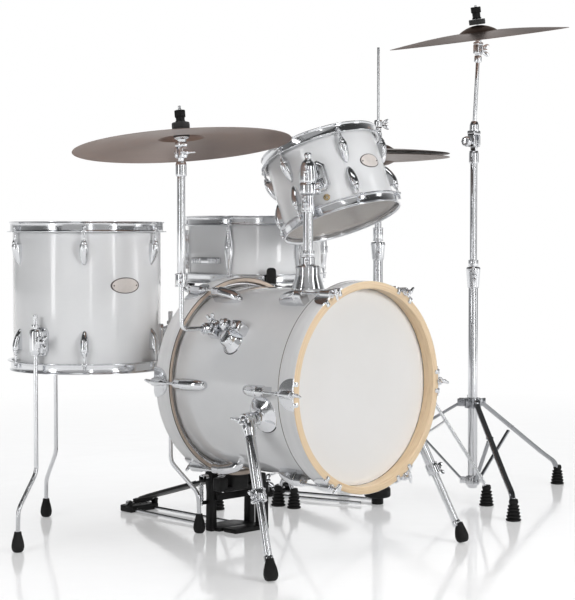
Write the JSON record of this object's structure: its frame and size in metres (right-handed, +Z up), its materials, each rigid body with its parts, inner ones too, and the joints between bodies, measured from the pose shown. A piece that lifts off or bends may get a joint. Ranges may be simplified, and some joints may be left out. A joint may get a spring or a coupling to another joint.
{
  "type": "acoustic drum kit",
  "caption": "Acoustic drum kit: bass drum with kick pedal and riser, rack tom, floor tom, snare on its stand, hi-hat stand, crash cymbal on a bass-drum arm and a cymbal on its own stand.",
  "frame": {"origin": "centre of the kit footprint on the floor", "axes": "+Z up; the bass drum front head faces -Y and the player sits at +Y"},
  "size_m": [1.6276, 0.9414, 1.2617],
  "materials": {
    "shell_white": "gloss white wrap over ply",
    "hoop_wood": "natural maple, white outside",
    "head_coated": "coated film",
    "head_clear": "clear film",
    "chrome": "bright plated",
    "black_metal": "satin black",
    "bronze": "lathed bronze",
    "felt": "black felt and plastic"
  },
  "bodies": {
    "kit": {"bd_shell": "shell_white", "bd_hoop_front": "hoop_wood", "bd_hoop_rear": "hoop_wood", "bd_head_front": "head_coated", "bd_head_rear": "head_coated", "riser": "black_metal", "pedal_frame": "black_metal", "ft_shell": "shell_white", "ft_hoop_top": "chrome", "ft_hoop_bottom": "chrome", "ft_head_top": "head_coated", "ft_head_bottom": "head_clear", "snare_base": "chrome", "hihat_base": "chrome", "stand_base": "chrome"},
    "spur_left": {"spur_left_tube": "chrome"},
    "spur_left_foot": {"spur_left_rod": "chrome"},
    "spur_right": {"spur_right_tube": "chrome"},
    "spur_right_foot": {"spur_right_rod": "chrome"},
    "tom_post": {"tom_post": "chrome"},
    "tom_tilter": {"tom_tilter": "chrome"},
    "rack_tom": {"rt_shell": "shell_white", "rt_hoop_top": "chrome", "rt_hoop_bottom": "chrome", "rt_head_top": "head_coated", "rt_head_bottom": "head_clear"},
    "crash_arm": {"crash_arm": "chrome"},
    "crash_tube": {"crash_tube": "chrome"},
    "crash_tilter": {"crash_tilter": "chrome"},
    "crash_cymbal": {"crash_cymbal": "bronze"},
    "crash_nut": {"crash_nut": "felt"},
    "pedal_board": {"pedal_board": "chrome"},
    "pedal_beater": {"pedal_beater": "black_metal"},
    "ft_leg_a": {"ft_leg_a": "chrome"},
    "ft_leg_b": {"ft_leg_b": "chrome"},
    "ft_leg_c": {"ft_leg_c": "chrome"},
    "snare_basket": {"snare_basket": "chrome"},
    "snare": {"sn_shell": "shell_white", "sn_hoop_top": "chrome", "sn_hoop_bottom": "chrome", "sn_head_top": "head_coated", "sn_head_bottom": "head_clear"},
    "snare_lever": {"sn_lever": "chrome"},
    "hihat_tube": {"hihat_tube": "chrome", "hihat_bottom": "bronze"},
    "hihat_rod": {"hihat_rod": "chrome", "hihat_top": "bronze"},
    "hihat_board": {"hihat_board": "chrome"},
    "stand_tube": {"stand_tube": "chrome"},
    "stand_boom": {"stand_boom": "chrome"},
    "stand_tilter": {"stand_tilter": "chrome"},
    "stand_cymbal": {"stand_cymbal": "bronze"},
    "stand_nut": {"stand_nut": "felt"},
    "stand_collar": {"stand_collar": "chrome"},
    "stand_leg_a": {"stand_leg_a": "chrome"},
    "stand_leg_b": {"stand_leg_b": "chrome"},
    "stand_leg_c": {"stand_leg_c": "chrome"},
    "stand_brace_a": {"stand_brace_a": "chrome"},
    "stand_brace_b": {"stand_brace_b": "chrome"},
    "stand_brace_c": {"stand_brace_c": "chrome"}
  },
  "joints": [
    {"name": "spur_left_fold", "type": "hinge", "parent": "kit", "child": "spur_left", "pos_m": [-0.55821, -0.31107, 0.3], "axis": [1, 0, 0], "range_deg": [-35, 0]},
    {"name": "spur_left_length", "type": "slide", "parent": "spur_left", "child": "spur_left_foot", "axis": [-0.1989, -0.4161, -0.8873], "range_m": [-0.045, 0]},
    {"name": "spur_right_fold", "type": "hinge", "parent": "kit", "child": "spur_right", "pos_m": [-0.07821, -0.31107, 0.3], "axis": [1, 0, 0], "range_deg": [-35, 0]},
    {"name": "spur_right_length", "type": "slide", "parent": "spur_right", "child": "spur_right_foot", "axis": [0.0982, -0.4451, -0.8901], "range_m": [-0.045, 0]},
    {"name": "tom_height", "type": "slide", "parent": "kit", "child": "tom_post", "axis": [0, 0, 1], "range_m": [0, 0.05]},
    {"name": "tom_turn", "type": "hinge", "parent": "tom_post", "child": "tom_tilter", "pos_m": [-0.31821, -0.24607, 0.7], "axis": [0, 0, 1], "range_deg": [-8, 8]},
    {"name": "tom_tilt", "type": "hinge", "parent": "tom_tilter", "child": "rack_tom", "pos_m": [-0.31821, -0.24607, 0.812], "axis": [0.452, -0.892, 0], "range_deg": [-2, 10]},
    {"name": "crash_arm_turn", "type": "hinge", "parent": "kit", "child": "crash_arm", "pos_m": [-0.52321, -0.14407, 0.477], "axis": [-0.979, 0.204, 0], "range_deg": [-4, 4]},
    {"name": "crash_height", "type": "slide", "parent": "crash_arm", "child": "crash_tube", "axis": [0, 0, 1], "range_m": [-0.02, 0.03]},
    {"name": "crash_tilt", "type": "hinge", "parent": "crash_tube", "child": "crash_tilter", "pos_m": [-0.57921, -0.13217, 0.846], "axis": [0, 1, 0], "range_deg": [-6, 6]},
    {"name": "crash_spin", "type": "hinge", "parent": "crash_tilter", "child": "crash_cymbal", "pos_m": [-0.57821, -0.13117, 0.893], "axis": [0.0085, 0.115, 0.9933], "continuous": true},
    {"name": "crash_nut_turn", "type": "hinge", "parent": "crash_tilter", "child": "crash_nut", "pos_m": [-0.57821, -0.13117, 0.893], "axis": [0.0085, 0.115, 0.9933], "continuous": true},
    {"name": "pedal_press", "type": "hinge", "parent": "kit", "child": "pedal_board", "pos_m": [-0.28221, 0.35993, 0.024], "axis": [1, 0, 0], "range_deg": [0, 10], "stiffness_Nm_per_rad": 5, "springref_deg": -20.05},
    {"name": "beater_swing", "type": "hinge", "parent": "kit", "child": "pedal_beater", "pos_m": [-0.28221, 0.03993, 0.126], "axis": [1, 0, 0], "range_deg": [0, 53.01]},
    {"name": "floor_tom_leg_a_height", "type": "slide", "parent": "kit", "child": "ft_leg_a", "axis": [0, 0, 1], "range_m": [0, 0.05]},
    {"name": "floor_tom_leg_b_height", "type": "slide", "parent": "kit", "child": "ft_leg_b", "axis": [0, 0, 1], "range_m": [0, 0.05]},
    {"name": "floor_tom_leg_c_height", "type": "slide", "parent": "kit", "child": "ft_leg_c", "axis": [0, 0, 1], "range_m": [0, 0.02]},
    {"name": "snare_height", "type": "slide", "parent": "kit", "child": "snare_basket", "axis": [0, 0, 1], "range_m": [-0.03, 0.04]},
    {"name": "snare_lift", "type": "slide", "parent": "snare_basket", "child": "snare", "axis": [0, 0, 1], "range_m": [0, 0.06]},
    {"name": "snare_throw", "type": "hinge", "parent": "snare", "child": "snare_lever", "pos_m": [0.13908, 0.21923, 0.656], "axis": [0.0349, -0.9994, 0], "range_deg": [0, 75]},
    {"name": "hihat_height", "type": "slide", "parent": "kit", "child": "hihat_tube", "axis": [0, 0, 1], "range_m": [0, 0.05]},
    {"name": "hihat_press", "type": "hinge", "parent": "kit", "child": "hihat_board", "pos_m": [0.12371, 0.28424, 0.024], "axis": [0.9613, 0.2756, 0], "range_deg": [0, 3], "stiffness_Nm_per_rad": 40, "springref_deg": -6.88},
    {"name": "hihat_lift", "type": "slide", "parent": "hihat_tube", "child": "hihat_rod", "axis": [0, 0, 1], "range_m": [-0.0066, 0]},
    {"name": "stand_height", "type": "slide", "parent": "kit", "child": "stand_tube", "axis": [0, 0, 1], "range_m": [0, 0.06]},
    {"name": "boom_tilt", "type": "hinge", "parent": "stand_tube", "child": "stand_boom", "pos_m": [0.45079, -0.08307, 0.912], "axis": [1, 0, 0], "range_deg": [-12, 12]},
    {"name": "stand_cymbal_tilt", "type": "hinge", "parent": "stand_boom", "child": "stand_tilter", "pos_m": [0.46162, -0.0874, 1.14598], "axis": [1, 0, 0], "range_deg": [-8, 8]},
    {"name": "stand_cymbal_spin", "type": "hinge", "parent": "stand_tilter", "child": "stand_cymbal", "pos_m": [0.45762, -0.0874, 1.20998], "axis": [-0.1746, 0.004, 0.9846], "continuous": true},
    {"name": "stand_nut_turn", "type": "hinge", "parent": "stand_tilter", "child": "stand_nut", "pos_m": [0.45762, -0.0874, 1.20998], "axis": [-0.1746, 0.004, 0.9846], "continuous": true},
    {"name": "stand_fold", "type": "slide", "parent": "kit", "child": "stand_collar", "axis": [0, 0, 1], "range_m": [0, 0.025]},
    {"name": "stand_leg_a_fold", "type": "hinge", "parent": "stand_collar", "child": "stand_leg_a", "pos_m": [0.48075, -0.08464, 0.246], "axis": [-0.0523, -0.9986, 0], "range_deg": [-7.6, 0]},
    {"name": "stand_brace_a_fold", "type": "hinge", "parent": "kit", "child": "stand_brace_a", "pos_m": [0.47476, -0.08433, 0.045], "axis": [-0.0523, -0.9986, 0], "range_deg": [0, 4.6]},
    {"name": "stand_leg_b_fold", "type": "hinge", "parent": "stand_collar", "child": "stand_leg_b", "pos_m": [0.43358, -0.10765, 0.246], "axis": [-0.8192, 0.5736, 0], "range_deg": [-7.6, 0]},
    {"name": "stand_brace_b_fold", "type": "hinge", "parent": "kit", "child": "stand_brace_b", "pos_m": [0.43702, -0.10273, 0.045], "axis": [-0.8192, 0.5736, 0], "range_deg": [0, 4.6]},
    {"name": "stand_leg_c_fold", "type": "hinge", "parent": "stand_collar", "child": "stand_leg_c", "pos_m": [0.43717, -0.05634, 0.246], "axis": [0.891, 0.454, 0], "range_deg": [-7.6, 0]},
    {"name": "stand_brace_c_fold", "type": "hinge", "parent": "kit", "child": "stand_brace_c", "pos_m": [0.43989, -0.06169, 0.045], "axis": [0.891, 0.454, 0], "range_deg": [0, 4.6]}
  ],
  "couplings": [
    {"joint": "beater_swing", "follows": "pedal_press", "ratio": 5.3},
    {"joint": "hihat_lift", "follows": "hihat_press", "m_per_rad": -0.12414},
    {"joint": "stand_leg_a_fold", "follows": "stand_fold", "rad_per_m": -5.22},
    {"joint": "stand_brace_a_fold", "follows": "stand_fold", "rad_per_m": 3.15},
    {"joint": "stand_leg_b_fold", "follows": "stand_fold", "rad_per_m": -5.22},
    {"joint": "stand_brace_b_fold", "follows": "stand_fold", "rad_per_m": 3.15},
    {"joint": "stand_leg_c_fold", "follows": "stand_fold", "rad_per_m": -5.22},
    {"joint": "stand_brace_c_fold", "follows": "stand_fold", "rad_per_m": 3.15}
  ]
}
